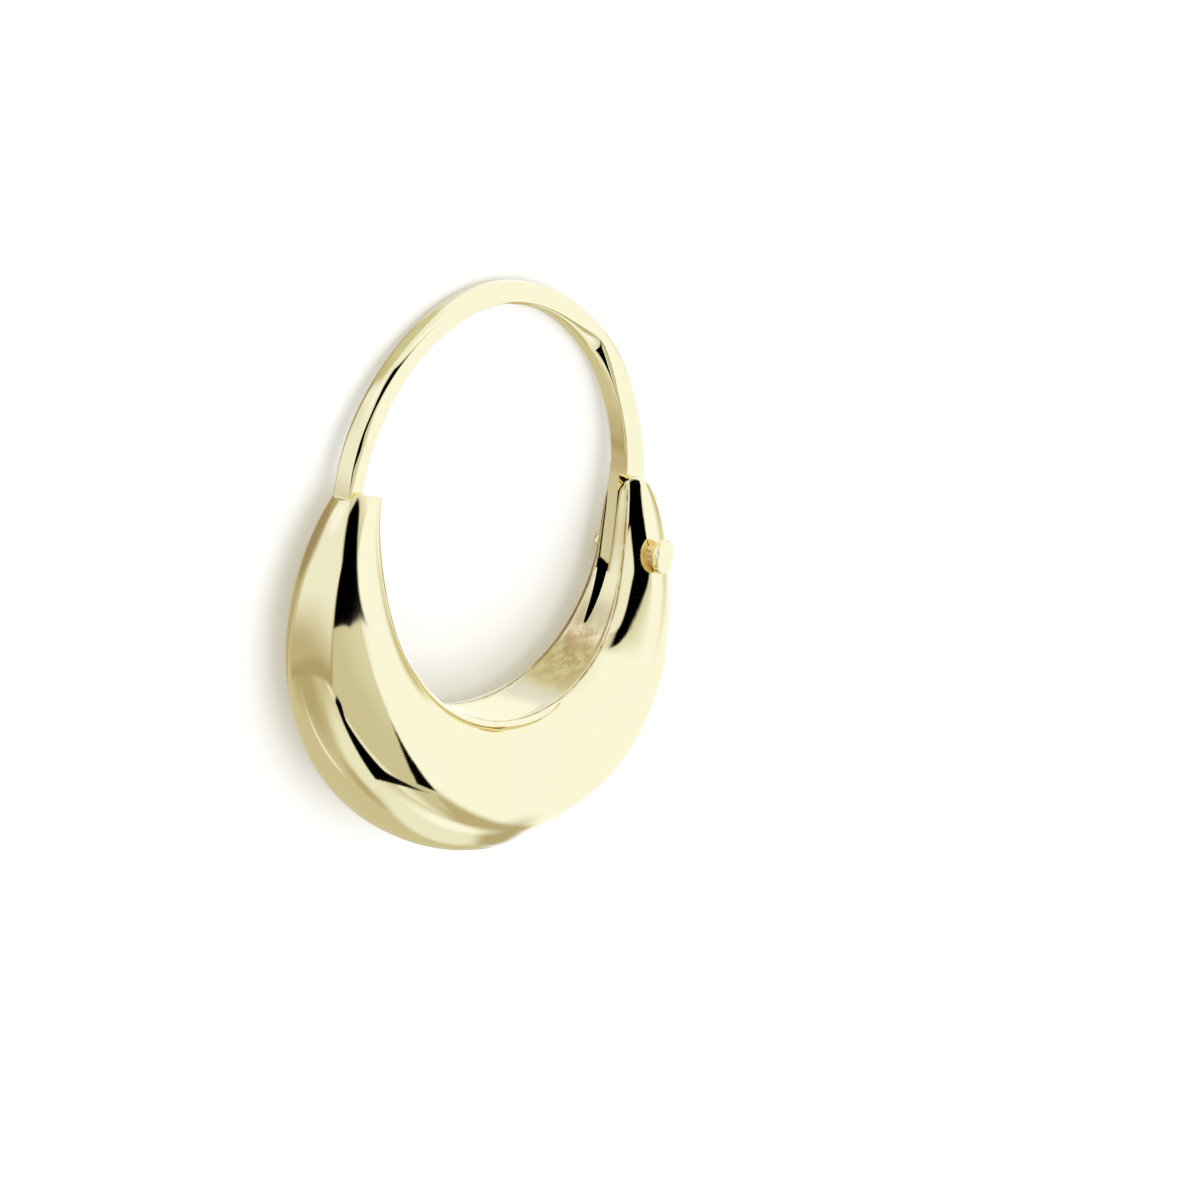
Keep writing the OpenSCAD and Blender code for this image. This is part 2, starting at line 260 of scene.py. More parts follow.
class Sections:
    """The crescent's sections at close angles: radius, z and way past the solder line of each column."""

    def __init__(self):
        a = self.angles = np.linspace(FRONT_A - 1, BACK_A, FINE)
        self.hole = spline(BODY, 2, a) * HOLE_R
        depth = spline(BODY, 1, a) * BELLY_R - self.hole
        half, strip = spline(BODY, 3, a) * BELLY_HALF, spline(BODY, 4, a) * STRIP
        shift = PRONG_SHIFT * (np.clip((a - SHIFT_FROM) / SHIFT_RUN, 0, None))**2
        back = ease(a, *BANDS_MOVE)
        self.near = BAND_HALF + (BLADE_SHIFT + SLOT_HALF - BAND_HALF) * back
        self.far = -BAND_HALF + (BLADE_SHIFT - SLOT_HALF + BAND_HALF) * back
        lean = np.stack([blurred(TURN, c, a, TURN_BLUR) for c in range(1, 7)], -1)
        widen = np.clip((a - SLIT_END) / (SLIT_FULL - SLIT_END), 0, 1)**SLIT_POWER
        slit = (SLIT_LEAST + (SLIT_WIDTH - SLIT_LEAST) * widen) / 2
        self.r, self.z = np.zeros((FINE, COLS)), np.zeros((FINE, COLS))
        self.past = np.full((FINE, COLS), FAR_OUT)
        b = np.linspace(0, 1, BAND_COLS + 2)[1:-1]
        q = np.linspace(0, 1, BAND_COLS // 2 + 1)
        for k in range(FINE):
            near, far, mid = self.near[k], self.far[k], SLIT_Z * back[k]
            dn, zn, sn, wide = half_section(depth[k], half[k], strip[k], near, shift[k], 1, lean[k])
            df, zf, sf, wide = half_section(depth[k], half[k], strip[k], far, shift[k], -1, lean[k])
            top = near + (far - near) * b
            over = (1 - np.abs((top - shift[k]) / half[k])**POWER)**(1 / POWER)
            dt = depth[k] * (wide + (1 - wide) * over)
            hole = (far + (mid - slit[k] - far) * q[1:], near + (mid + slit[k] - near) * q[:0:-1])
            self.r[k] = self.hole[k] + np.concatenate([dn, dt, df[::-1], 0 * b])
            self.z[k] = np.concatenate([zn, top, zf[::-1], *hole])
            self.past[k, :OUTER_0] = sn
            self.past[k, FAR_0:HOLE_0] = sf[::-1]
        self.x, self.y = rows_xy(a, self.r)

    def starts(self):
        """The angle where each column starts at the front rim, with its rounded corners and its notch."""
        row = np.abs(self.angles - FRONT_A).argmin()
        r = self.r[row]
        inside = np.clip(RIM_CORNER - (r - self.hole[row]), 0, None)
        back = RIM_CORNER - np.sqrt(np.clip(RIM_CORNER**2 - inside**2, 0, None))
        u = np.clip(np.abs(self.z[row]) / NOTCH_HALF, 0, 1)
        notch = NOTCH_DEPTH * (1 - u**NOTCH_POWERS[0])**(1 / NOTCH_POWERS[1])
        return FRONT_A + np.degrees((back + np.where(r > NOTCH_R, notch, 0)) / r)

    def crossing(self, inside, c, low):
        """The first angle above low where column c is inside a shape."""
        x, y = self.x[:, c], self.y[:, c]
        m = inside(x, y) & (self.angles > low)
        if not m.any():
            return BACK_A
        e = self.angles[m.argmax()]
        a = np.linspace(e - LOOK_BACK, e + LOOK_ON, LOOK_STEPS)
        m = inside(np.interp(a, self.angles, x), np.interp(a, self.angles, y))
        return a[m.argmax()]

    def floors(self):
        """The angle where each column passes the slot's floor."""
        return np.array([self.crossing(lambda px, py: py > SLOT_FLOOR, c, FLOOR_FROM) for c in range(COLS)])

    def tops(self):
        """The angle where each column ends on the prong's top, a disc with a crest on the outer side, and the
        radius of its rounded edge there."""
        row = np.abs(self.angles - PRONG_A).argmin()
        dr, dz = np.gradient(self.r[row]), np.gradient(self.z[row])
        rim = PRONG_ROUND * np.abs(dr) / (np.hypot(dr, dz) + 1e-9)
        flat = np.where(np.arange(COLS) < OUTER_0, self.near[-1], self.far[-1])
        outer = ease(np.abs(self.z[row] - flat), *CREST_RISE)[:, None]
        crest = np.array(PRONG_HOLLOW) * (1 - outer) + np.array(PRONG_CREST) * outer
        t = np.linspace(0, 1, CREST_STEPS)[:, None]

        def above(px, py, c):
            x0, y0, r0 = ((1 - t) * a + t * b for a, b in zip(crest[c], (*PRONG_TOP, PRONG_TOP_R)))
            return (py > PRONG_TOP[1]) & ((np.hypot(px - x0, py - y0) - r0).min(0) > -rim[c])

        end = np.array([self.crossing(lambda px, py: above(px, py, c), c, TOP_FROM) for c in range(COLS)])
        return end, rim

    def surface(self, angle):
        """Points on a grid of angles, their normals outwards, and how far each lies past the solder line."""
        points, past = np.zeros((*angle.shape, 3)), np.zeros(angle.shape)
        for c in range(COLS):
            r, z, s = (np.interp(angle[:, c], self.angles, v[:, c]) for v in (self.r, self.z, self.past))
            points[:, c] = polar(angle[:, c], r, z)
            past[:, c] = s
        along, across = np.gradient(points, axis=0), np.roll(points, -1, 1) - np.roll(points, 1, 1)
        normals = np.cross(across, along)
        normals /= np.linalg.norm(normals, axis=-1, keepdims=True) + 1e-12
        test = points[TEST_ROW]
        normals *= np.sign((normals[TEST_ROW] * (test - test.mean(0))).sum())
        return points, normals, past


class Skin:
    """Vertices, faces and vertex values of a growing surface."""

    def __init__(self):
        self.verts, self.faces, self.seam, self.solder, self.count = [], [], [], [], 0

    def take(self, points, seam=None, solder=None):
        """Adds points with their values, and gives the number of the first."""
        first, n = self.count, points.size // 3
        self.verts.append(points.reshape(-1, 3))
        self.seam.append(np.zeros(n) if seam is None else seam.ravel())
        self.solder.append(np.zeros(n) if solder is None else solder.ravel())
        self.count += n
        return first

    def grid(self, points, seam=None, solder=None, keep=None, closed=False):
        """A grid of points (rows, columns, 3), less the cells that keep says to leave out."""
        n, m, _ = points.shape
        first = self.take(points, seam, solder)
        for k in range(n - 1):
            for c in range(m if closed else m - 1):
                if keep is None or keep[k, c]:
                    c2 = (c + 1) % m
                    corners = (k * m + c, k * m + c2, (k + 1) * m + c2, (k + 1) * m + c)
                    self.faces.append(tuple(first + i for i in corners))

    def polygon(self, points):
        """One flat face."""
        first = self.take(points)
        self.faces.append(tuple(range(first, self.count)))


def row_angles(start, floor, end):
    """The angle of every row and column of the crescent's grid."""
    shares = [np.linspace(0, 1, n, endpoint=False) for n in ROWS[:3]]
    rows = [start + (LOW_A - start) * t for t in shares[0]**FRONT_CROWD]
    rows += [LOW_A + (HIGH_A - LOW_A) * t + 0 * start for t in shares[1]]
    rows += [HIGH_A + (floor - HIGH_A) * t for t in shares[2]]
    rows += [floor + (end - floor) * t for t in np.linspace(0, 1, ROWS[3])]
    return np.array(rows)


def solder_line(angle, past):
    """How far the groove and bead of the solder line on both edges of the strip push the sheet in and out,
    and how brown they are, with a band of painted shade beside the line on the strip's far edge."""
    near = (np.arange(COLS) < HALF_COLS).astype(float)
    run = (angle - FRONT_A) / (BACK_A - FRONT_A)
    near_way, far_way = (WANDER * (wavy(run, seed) - 0.5) for seed in WANDER_SEEDS)
    d = past - (near_way * near + far_way * (1 - near))
    near_wave, far_wave = (wavy(run, seed, STRENGTH_TURNS) for seed in STRENGTH_SEEDS)
    waves = near_wave * near + far_wave * (1 - near)
    strength = STRENGTH[0] + STRENGTH[1] * waves
    fade = ease(angle, *LINE_FADE)
    line = np.exp(-(d / GROOVE)**2)
    push = fade * strength * (GROOVE_DEEP * line + BEAD_HIGH * np.exp(-((np.abs(d) - BEAD_AT) / BEAD)**2))
    # painted shade: a darker band on the strip's far edge, beside the solder line
    far_edge_shade = FAR_EDGE_SHADE * np.exp(-((d + FAR_EDGE_SHADE_AT) / FAR_EDGE_SHADE_HALF)**2) * (1 - near) * ease(angle, *FAR_EDGE_SHADE_RISE)
    brown_and_shade = np.maximum(line, far_edge_shade) * fade * strength
    brown_and_shade[SLOT_ROW:, [0, HOLE_0 - 1]] = BROWN_CORNER
    brown_and_shade[SLOT_ROW:, 1] = BROWN_BESIDE
    return push, brown_and_shade


def rough_solder(angle, points, past):
    """How much rough solder there is along the strip near the hinge and round the rivet."""
    patch = np.exp(-((angle - SOLDER_A) / SOLDER_SPREAD)**2)
    solder = patch * np.clip(-past / SOLDER_FADE, 0, 1)
    solder[:, HOLE_0:] = patch[:, HOLE_0:]
    ring = 1 - ease(np.hypot(points[..., 0] - RIVET_X, points[..., 1] - RIVET_Y), *RING)
    return np.maximum(solder, RING_SOLDER * ring * (np.abs(points[..., 2]) > RING_Z))


def kept_cells(angle):
    """The cells of the crescent's grid that are not in the slot or the narrow slit."""
    keep = np.ones(angle.shape, bool)
    keep[SLOT_ROW:, OUTER_0 - 1:FAR_0] = False
    keep[SLOT_ROW:, HOLE_0 - 1:] = False
    keep[(angle[:, SLIT_COL] > SLIT_END) & (np.arange(len(angle)) < SLOT_ROW), SLIT_COL] = False
    return keep


def slit_and_floor(skin, points, normals, keep):
    """The sides of the narrow slit, then the slot's floor on both sides of it."""
    cut = np.append(np.nonzero(~keep[:SLOT_ROW, SLIT_COL])[0], SLOT_ROW)
    for c in (SLIT_COL, SLIT_COL + 1):
        edge = points[cut, c]
        skin.grid(np.stack([edge, edge - normals[cut, STRIP_COL] * WALL], 1))
    on_strip = points[SLOT_ROW, [0, *range(COLS - 1, HOLE_0 - 2, -1)]]
    on_outside = points[SLOT_ROW, OUTER_0 - 1:FAR_0 + 1]
    floor = np.ones((1, BAND_COLS + 1), bool)
    floor[0, BAND_COLS // 2] = False
    skin.grid(np.stack([on_strip, on_outside]), keep=floor)


def prong(skin, points, rim, columns, flat, sign):
    """The flat side of a prong in the slot, and its rounded top."""
    skin.grid(np.stack([points[SLOT_ROW:, columns[0]], points[SLOT_ROW:, columns[-1]]], 1))
    last, rho = points[-1, columns], rim[columns]
    out = last[:, :2] - np.array(PRONG_TOP)
    out /= np.linalg.norm(out, axis=1, keepdims=True)
    cap = [last]
    for t in np.radians(CAP_TURNS):
        up = np.clip(sign * (last[:, 2] - flat) - rho * (1 - math.cos(t)), 0, None)
        cap.append(np.column_stack([last[:, :2] + out * (rho * math.sin(t))[:, None], flat + sign * up]))
    reach = np.minimum(np.linalg.norm(cap[-1][:, :2] - PRONG_TOP, axis=1), PRONG_TOP_R)
    low = np.array(PRONG_TOP) + out * reach[:, None]
    cap.append(np.column_stack([low, np.full(len(columns), flat)]))
    skin.grid(np.stack(cap))
    skin.polygon(cap[-1])


def front_end(skin, points, normals):
    """The front rim's rounded edges and the lining behind it."""
    ahead = points[0] - points[1]
    ahead /= np.linalg.norm(ahead, axis=-1, keepdims=True)
    rows = [points[0]]
    for t in np.radians(RIM_TURNS):
        rows.append(points[0] + ahead * RIM_EDGE * math.sin(t) - normals[0] * RIM_EDGE * (1 - math.cos(t)))
    for t in np.radians((0, *RIM_TURNS)):
        inward = WALL - RIM_EDGE + RIM_EDGE * math.sin(t)
        rows.append(points[0] + ahead * RIM_EDGE * math.cos(t) - normals[0] * inward)
    rows += [points[k] - normals[k] * WALL for k in range(2, LINING_END, 2)]
    skin.grid(np.stack(rows), closed=True)


def crescent():
    """The hollow crescent, with its open front end, the prongs and the slot."""
    sections, skin = Sections(), Skin()
    end, rim = sections.tops()
    angle = row_angles(sections.starts(), sections.floors(), end)
    points, normals, past = sections.surface(angle)
    push, brown_and_shade = solder_line(angle, past)
    solder, keep = rough_solder(angle, points, past), kept_cells(angle)
    points = points + normals * push[..., None]
    skin.grid(points, brown_and_shade, solder, keep, True)
    slit_and_floor(skin, points, normals, keep)
    prong(skin, points, rim, np.arange(0, OUTER_0), sections.near[-1], 1)
    prong(skin, points, rim, np.arange(HOLE_0 - 1, FAR_0 - 1, -1), sections.far[-1], -1)
    front_end(skin, points, normals)
    verts, faces, test = np.concatenate(skin.verts), skin.faces, list(skin.faces[TEST_FACE])
    quad = verts[test]
    if np.cross(quad[1] - quad[0], quad[2] - quad[0]) @ normals.reshape(-1, 3)[test[0]] < 0:
        faces = [f[::-1] for f in faces]
    # the seam values hold the solder line's brown and the painted shade on the strip's far edge
    values = {"seam": np.concatenate(skin.seam), "solder": np.concatenate(skin.solder)}
    ob = mesh_object("crescent_shell", verts, faces, "crescent", SMOOTH, values)
    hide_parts("crescent_body")
    return ob


# The ear wire: sides of the arch and of the tongue, rings along each, the angles at which the arch is worked
# out (first, last and how many), the angle where its section stops changing, the angle past which the slanted
# cut ends it, and degrees each way over which its facets are averaged
ARCH_SIDES, TONGUE_SIDES, ARCH_RINGS, TONGUE_RINGS = 120, 32, 300, 40
ARCH_FINE, ARCH_EVEN, CUT_BEFORE, WIRE_BLUR = (351, 178, 700), 350, 200, 2
# the tongue: angles where it starts and ends, and the sharpness of its edges
TONGUE_FROM, TONGUE_TO, TONGUE_SHARP = 346, 357, 3
# how the wire moves over to WIRE_SHIFT: angle where it starts and degrees that it takes
DRIFT_FROM, DRIFT_RUN = 340, 130
# the blade's tail is shorter on its far side: by how much, over what y below the middle and what x; and the
# points on each round part of the blade's outline
TAIL_CUT, TAIL_Y, TAIL_X, ARC_STEPS = 0.24, (0.05, 0.55), (-7.0, -6.4), 20
# the rounding of the wire's edges: size, steps and the least angle of an edge
WIRE_EDGE, WIRE_EDGE_STEPS, WIRE_EDGE_ANGLE = 0.03, 3, 50


def sweep_points(a, mid, sides, facets, sharp):
    """Rings (radius, z) round the middle radius: all that is inside the facets (way it faces in degrees from
    near to out, distance), with its edges rounded."""
    drift = WIRE_SHIFT * np.clip((DRIFT_FROM - a) / DRIFT_RUN, 0, 1)
    f = 2 * np.pi * (np.arange(sides) + 0.5) / sides
    total = 0
    for way, distance in facets:
        w = np.radians(way)[:, None]
        facing = np.sin(w) * np.cos(f) + np.cos(w) * np.sin(f)
        total = total + np.clip(facing / distance[:, None], 0, None)**sharp[:, None]
    size = total**(-1 / sharp[:, None])
    return mid[:, None] + size * np.cos(f), drift[:, None] + size * np.sin(f)


def bar(rings):
    """Vertices and faces of a bar through the rings, with flat ends."""
    n, m, _ = rings.shape
    faces = [(k * m + c, k * m + (c + 1) % m, (k + 1) * m + (c + 1) % m, (k + 1) * m + c)
             for k in range(n - 1) for c in range(m)]
    faces += [tuple(range(m))[::-1], tuple((n - 1) * m + c for c in range(m))]
    return rings.reshape(-1, 3), faces


def joined(parts):
    """Vertices and faces of several meshes as one."""
    verts, faces, count = [], [], 0
    for v, f in parts:
        faces += [tuple(count + i for i in corners) for corners in f]
        verts.append(v)
        count += len(v)
    return np.concatenate(verts), faces


def tangent(a, b, side):
    """The two touching points of the outer tangent of discs a and b, on one side of the way from a to b."""
    (pa, ra), (pb, rb) = a, b
    pa, pb = np.array(pa), np.array(pb)
    d = pb - pa
    dist = np.linalg.norm(d)
    d /= dist
    s = (ra - rb) / dist
    across = np.array([-d[1], d[0]]) * side
    v = d * s + across * math.sqrt(1 - s * s)
    return pa + v * ra, pb + v * rb


def arc(disc, p, q):
    """Points on a disc's edge, anticlockwise from p to q."""
    c, r = np.array(disc[0]), disc[1]
    a0, a1 = math.atan2(*(p - c)[::-1]), math.atan2(*(q - c)[::-1])
    if a1 < a0:
        a1 += 2 * math.pi
    return [c + r * np.array([math.cos(x), math.sin(x)]) for x in np.linspace(a0, a1, ARC_STEPS)]


def blade_outline():
    """The blade's outline, anticlockwise from the left of its root."""
    l1, l2 = tangent(ROOT, WAIST, -1)
    l3, l4 = tangent(WAIST, TAIL, -1)
    b1, b2 = tangent(TAIL, EYE, -1)
    r1, r2 = tangent(EYE, WAIST, -1)
    r3, r4 = tangent(WAIST, ROOT, -1)
    return np.array([l1, (l2 + l3) / 2, *arc(TAIL, l4, b1), *arc(EYE, b2, r1), (r2 + r3) / 2, r4])


def arch():
    """The arched wire, from its flat front end to its slanted end at the hinge."""
    fine = np.linspace(*ARCH_FINE)
    at = np.minimum(fine, ARCH_EVEN)
    mid, thick, half = (spline(WIRE, c, at) for c in (1, 2, 3))
    out, far1, way1, far2, way2, sharp = (blurred(WIRE, c, at, WIRE_BLUR) for c in range(4, 10))
    zero = 0 * at
    facets = ((zero, half), (out, thick), (zero + 180, half), (zero - 90, thick), (way1, far1), (way2, far2))
    r, z = sweep_points(at, mid, ARCH_SIDES, facets, sharp)
    x, y = rows_xy(fine, r)
    cut = WIRE_CUT[1] + math.tan(math.radians(WIRE_CUT_SLOPE)) * (x - WIRE_CUT[0])
    below = (y < cut) & (fine[:, None] < CUT_BEFORE)
    t = np.linspace(0, 1, ARCH_RINGS)
    back, rings = fine[::-1], np.zeros((ARCH_RINGS, ARCH_SIDES, 3))
    for c in range(ARCH_SIDES):
        k = below[:, c].argmax()
        g0, g1 = y[k - 1, c] - cut[k - 1, c], y[k, c] - cut[k, c]
        end = fine[k - 1] + (fine[k] - fine[k - 1]) * g0 / (g0 - g1)
        a = WIRE_END + (end - WIRE_END) * t
        rings[:, c] = polar(a, np.interp(a, back, r[::-1, c]), np.interp(a, back, z[::-1, c]))
    return bar(rings)


def tongue():
    """The thin tongue that drops into the open front end."""
    at = np.linspace(TONGUE_FROM, TONGUE_TO, TONGUE_RINGS)
    mid, thick, half = (spline(TONGUE, c, at) for c in (1, 2, 3))
    zero = 0 * at
    facets = ((zero, half), (zero + 90, thick), (zero + 180, half), (zero - 90, thick))
    r, z = sweep_points(at, mid, TONGUE_SIDES, facets, zero + TONGUE_SHARP)
    return bar(np.stack([polar(a, r[k], z[k]) for k, a in enumerate(at)])[::-1])


def blade():
    """The flat blade that turns in the slot."""
    near = blade_outline()
    m = len(near)
    cut = TAIL_CUT * ease(-near[:, 1], *TAIL_Y) * ease(-near[:, 0], *TAIL_X)
    far = near + np.column_stack([np.zeros(m), cut])
    verts = np.concatenate([np.column_stack([far, np.full(m, BLADE_SHIFT - BLADE_HALF)]),
                            np.column_stack([near, np.full(m, BLADE_SHIFT + BLADE_HALF)])])
    faces = [tuple(range(m))[::-1], tuple(range(m, 2 * m))]
    faces += [(k, (k + 1) % m, m + (k + 1) % m, m + k) for k in range(m)]
    return verts, faces


def ear_wire():
    """The ear wire: the arch, the tongue and the blade as one piece."""
    verts, faces = joined((arch(), tongue(), blade()))
    ob = mesh_object("ear_wire_arch", verts, faces, "wire", SMOOTH)
    edge = ob.modifiers.new("edge", "BEVEL")
    edge.width, edge.segments = WIRE_EDGE / 1000, WIRE_EDGE_STEPS
    edge.limit_method, edge.angle_limit = "ANGLE", math.radians(WIRE_EDGE_ANGLE)
    edge.harden_normals = True
    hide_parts("ear_wire")
    return ob


# The rivet: how far the near head is tipped, in degrees, the height about which it tips, how far it sits off
# the axis to the outside and upwards, and the heights over which it tips and bends
TIP, TIP_Z, BENT, BENT_UP = 19.0, 1.56, 0.12, 0.07
TIP_RISE, BEND_RISE = (1.30, 1.42), (0.75, 1.15)
# each head's radius, side, dome and thickness; how high its top is, how its edge is rounded, and the steps
# over its dome as shares of its radius
NEAR_HEAD, FAR_HEAD = (0.67, 1, 0.02, 0.30), (0.48, -1, 0.05, 0.32)
HEAD_TOP, HEAD_EDGE, DOME = 1.76, 0.07, (0.8, 0.6, 0.4, 0.2, 0.02)
# the neck below the head: where it starts, its radius, its rounding and where that ends, then the points on
# that rounding and on each one of the head's edge
NECK_Z, NECK_R, NECK_ROUND, NECK_ROUND_Z, NECK_STEPS, EDGE_STEPS = 1.30, 0.40, 0.04, 1.34, 4, 7
# the collar of solder: share of its lumps and of its shift to the outside, radius, height
COLLAR = ((0, 0.30, 1.02), (0.6, 0.38, 1.06), (1, 0.46, 1.14), (1, 0.50, 1.24), (1, 0.49, 1.36),
          (0.4, 0.45, 1.46), (0, 0.38, 1.52))
# height and turns of its lumps, how far it sits to the outside and upwards, and over what height it leans
LUMPS, LUMP_TURNS, COLLAR_OUT, COLLAR_UP, COLLAR_LEAN = 0.05, (2, 5, 9, 16), 0.10, 0.04, (1.10, 1.45)
# sides of the heads and of the collar, how rough the collar is, and the largest angle between smooth faces
HEAD_SIDES, COLLAR_SIDES, COLLAR_ROUGH, RIVET_SMOOTH = 72, 96, 0.4, 45


def circle(sides):
    """Angles round the rivet's axis."""
    return 2 * np.pi * np.arange(sides) / sides


def head(r, sign, dome, thick):
    """Half the rivet, from the middle plane out to a head of radius r."""
    top, e, quarter = HEAD_TOP, HEAD_EDGE, np.linspace(0, math.pi / 2, EDGE_STEPS)
    p = [(RIVET_R, 0), (RIVET_R, NECK_Z)]
    p += [(NECK_R - NECK_ROUND * math.cos(t), NECK_ROUND_Z - NECK_ROUND * math.sin(t))
          for t in np.linspace(math.pi / 2, 0, NECK_STEPS)]
    p += [(NECK_R, top - thick)]
    p += [(r - e + e * math.sin(t), top - thick + e - e * math.cos(t)) for t in quarter]
    p += [(r - e + e * math.cos(t), top - dome - e + e * math.sin(t)) for t in quarter]
    p += [((r - e) * q, top - dome * q * q) for q in DOME]
    p, a = np.array([(a, b * sign) for a, b in p]), circle(HEAD_SIDES)
    x, y = RIVET_X + p[:, :1] * np.cos(a), RIVET_Y + p[:, :1] * np.sin(a)
    v, f = bar(np.stack([x, y, p[:, 1:] + 0 * a], -1))
    return v, [q[::-1] for q in f] if sign > 0 else f


def near_head():
    """The near head, tipped and set off the axis."""
    v, f = head(*NEAR_HEAD)
    tip = ease(v[:, 2], *TIP_RISE) * math.radians(TIP)
    bend = ease(v[:, 2], *BEND_RISE)
    x, z = v[:, 0] - RIVET_X, v[:, 2] - TIP_Z
    across = RIVET_X + x * np.cos(tip) + z * np.sin(tip) + BENT * bend
    return np.column_stack([across, v[:, 1] + BENT_UP * bend, TIP_Z - x * np.sin(tip) + z * np.cos(tip)]), f


def collar():
    """An uneven ring of solder between the near prong and the head."""
    a, rings = circle(COLLAR_SIDES), []
    lump = LUMPS * (wavy(a / (2 * np.pi), LUMP_SEED, LUMP_TURNS) - 0.5)
    for t, r, z in COLLAR:
        q = r + lump * t
        lean = math.tan(math.radians(TIP)) * ease(z, *COLLAR_LEAN)
        rings.append(np.column_stack([RIVET_X + BENT + COLLAR_OUT * t + q * np.cos(a),
                                      RIVET_Y + COLLAR_UP + q * np.sin(a), z - lean * q * np.cos(a)]))
    v, f = bar(np.stack(rings))
    return v, [q[::-1] for q in f]


def hinge_rivet():
    """The rivet: both halves with their heads, and the collar."""
    parts = (near_head(), head(*FAR_HEAD), collar())
    verts, faces = joined(parts)
    solder = np.concatenate([np.full(len(v), s) for (v, _), s in zip(parts, (0.0, 0.0, COLLAR_ROUGH))])
    values = {"solder": solder, "seam": np.zeros(len(verts))}
    ob = mesh_object("rivet_heads", verts, faces, "crescent", RIVET_SMOOTH, values)
    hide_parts("hinge_rivet")
    return ob


# Colours of the gold: polished, in the solder line and on rough solder, and of its reflections when seen
# along the surface; the solder line's brown also paints shade along the strip's far edge
GOLD, SEAM_BROWN_AND_SHADE, SOLDER_PINK = (0.93, 0.83, 0.52), (0.36, 0.22, 0.06, 1), (0.70, 0.47, 0.25, 1)
SHEEN = (1.0, 0.97, 0.86, 1)
# the darker tone of the drift, as a share; scale, detail and roughness of the drift, the solder and the marks
DRIFT_TONE = (0.985, 0.975, 0.93)
DRIFT_NOISE, SOLDER_NOISE, MARK_NOISE = (260.0, 3.0, 0.5), (1900.0, 4.0, 0.7), (900.0, 5.0, 0.6)
MARK_SCALE, MARK_TURN = (1.0, 0.12, 0.5), (0.3, 0.2, 0.6)
# the finishes: roughness, strength of the relief and grain, and the shares of the roughness between the marks
# and on them
POLISHED, DULLER, POLISH = (0.035, 0.35, 0.0), (0.07, 0.5, 0.2), (0.6, 1.5)
# where the solder's noise becomes spots, how dull and how grainy they are, and the relief's height in
# metres
SPOT_MIN, SPOT_MAX, SPOT_DULL, SPOT_GRAIN, RELIEF = 0.42, 0.56, 0.22, 2.5, 0.000004


class Tree:
    """The nodes of a material or world. What goes into a node is a value or another node's output."""

    def __init__(self, owner):
        owner.use_nodes = True
        self.nodes, self.links = owner.node_tree.nodes, owner.node_tree.links
        self.nodes.clear()

    def node(self, kind, inputs, **settings):
        n = self.nodes.new("ShaderNode" + kind)
        for key, value in settings.items():
            setattr(n, key, value)
        for key, value in inputs.items():
            if isinstance(value, (int, float, tuple)):
                n.inputs[key].default_value = value
            else:
                self.links.new(value, n.inputs[key])
        return n

    def calc(self, op, *values):
        return self.node("Math", dict(enumerate(values)), operation=op).outputs[0]

    def vector(self, op, a, b, out="Vector"):
        return self.node("VectorMath", {0: a, "Scale" if op == "SCALE" else 1: b}, operation=op).outputs[out]

    def mix(self, factor, a, b):
        return self.node("Mix", {"Factor": factor, "A": a, "B": b}, data_type="RGBA").outputs["Result"]

    def noise(self, place, scale, detail, rough):
        inputs = {"Vector": place, "Scale": scale, "Detail": detail, "Roughness": rough}
        return self.node("TexNoise", inputs).outputs["Fac"]

    def ramp(self, value, what, lo, hi, kind="LINEAR"):
        """A value run from or to a pair of limits."""
        inputs = {"Value": value, what + " Min": lo, what + " Max": hi}
        return self.node("MapRange", inputs, interpolation_type=kind).outputs[0]


def gold(name, tone, rough, scratch, grain):
    """Gold, nearly a mirror: its tone, how rough its polish is, how strong its relief and its grain."""
    mat = bpy.data.materials.new(name)
    tree = Tree(mat)
    place = tree.node("TexCoord", {}).outputs["Object"]
    seam, solder = (tree.node("Attribute", {}, attribute_name=a).outputs["Fac"] for a in ("seam", "solder"))
    # colour: a slight drift of the alloy's tone, browner in the solder line, painted shade in the same brown
    # along the strip's far edge, and pinker on rough solder
    drift, darker = tree.noise(place, *DRIFT_NOISE), (a * b for a, b in zip(tone, DRIFT_TONE))
    colour = tree.mix(seam, tree.mix(drift, (*darker, 1), (*tone, 1)), SEAM_BROWN_AND_SHADE)
    patchy = tree.noise(place, *SOLDER_NOISE)
    spots = tree.calc("MULTIPLY", tree.ramp(patchy, "From", SPOT_MIN, SPOT_MAX), solder)
    colour = tree.mix(spots, colour, SOLDER_PINK)
    # polish: faint wiping marks and duller solder
    stretch = tree.node("Mapping", {"Vector": place, "Scale": MARK_SCALE, "Rotation": MARK_TURN}).outputs[0]
    marks = tree.noise(stretch, *MARK_NOISE)
    shine = tree.ramp(marks, "To", rough * POLISH[0], rough * POLISH[1])
    dull = tree.calc("MULTIPLY_ADD", spots, SPOT_DULL, shine)
    # height: fine wiping marks and a grain that only rough solder shows clearly
    dots = tree.calc("MULTIPLY_ADD", solder, SPOT_GRAIN, grain)
    heights = tree.calc("MULTIPLY_ADD", patchy, dots, marks)
    bump = tree.node("Bump", {"Strength": scratch, "Distance": RELIEF, "Height": heights}).outputs[0]
    shader = tree.node("BsdfPrincipled", {"Metallic": 1.0, "Specular Tint": SHEEN, "Base Color": colour,
                                          "Roughness": dull, "Normal": bump})
    tree.node("OutputMaterial", {0: shader.outputs[0]})
    return mat


# The floor: half its width and its height in metres, its roughness, and scale and shades of its faint grain
FLOOR_HALF, FLOOR_Z, FLOOR_ROUGH, FLOOR_GRAIN, FLOOR_SHADES = 3, -0.00002, 0.9, 400, (0.93, 0.95)
# the lamp's power, size and height in metres, and the strength of the white that lights all but the gold
LAMP, LAMP_SIZE, LAMP_UP, ROOM = 0.9, 0.5, 0.6, 1.08


